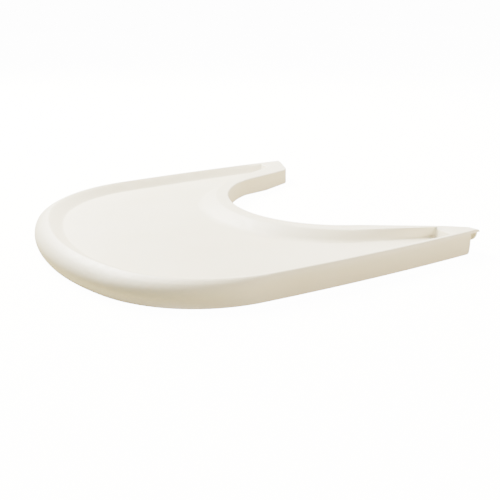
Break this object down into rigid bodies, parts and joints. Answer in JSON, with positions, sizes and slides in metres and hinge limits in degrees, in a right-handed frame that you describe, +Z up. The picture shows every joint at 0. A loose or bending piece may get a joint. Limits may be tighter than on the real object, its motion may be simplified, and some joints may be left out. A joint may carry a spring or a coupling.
{
  "type": "baby high chair tray",
  "caption": "Detachable horseshoe-shaped high chair tray with a torso opening, a shallow dish and spring latches underneath that hold the chair's rail.",
  "frame": {"origin": "middle of the tray's footprint, at the bottom edge of the outer skirt", "axes": "+Y toward the child, -Y the rounded front, +X the seated child's left, +Z up"},
  "size_m": [0.4, 0.409, 0.025],
  "materials": {
    "tray_plastic": "satin",
    "hook_plastic": "satin",
    "latch_plastic": "satin",
    "soft_grip": "matte",
    "spring_steel": "polished",
    "screw_steel": "satin"
  },
  "bodies": {
    "tray": {"tray_body": "tray_plastic", "front_rail_hook": "hook_plastic", "front_hook_screws": "screw_steel", "front_grip_pad": "soft_grip", "left_arm_grip_pad": "soft_grip", "right_arm_grip_pad": "soft_grip", "left_latch_cover": "hook_plastic", "right_latch_cover": "hook_plastic", "left_cover_screws": "screw_steel", "right_cover_screws": "screw_steel", "left_latch_spring": "spring_steel", "right_latch_spring": "spring_steel"},
    "left_latch_slide_body": {"left_latch": "latch_plastic", "left_latch_grip": "soft_grip"},
    "right_latch_slide_body": {"right_latch": "latch_plastic", "right_latch_grip": "soft_grip"}
  },
  "joints": [
    {"name": "left_latch_slide", "type": "slide", "parent": "tray", "child": "left_latch_slide_body", "axis": [1, 0, 0], "range_m": [0, 0.009], "stiffness_N_per_m": 400, "springref_m": -0.006, "deforming": ["left_latch_spring"]},
    {"name": "right_latch_slide", "type": "slide", "parent": "tray", "child": "right_latch_slide_body", "axis": [-1, 0, 0], "range_m": [0, 0.009], "stiffness_N_per_m": 400, "springref_m": -0.006, "deforming": ["right_latch_spring"]}
  ]
}
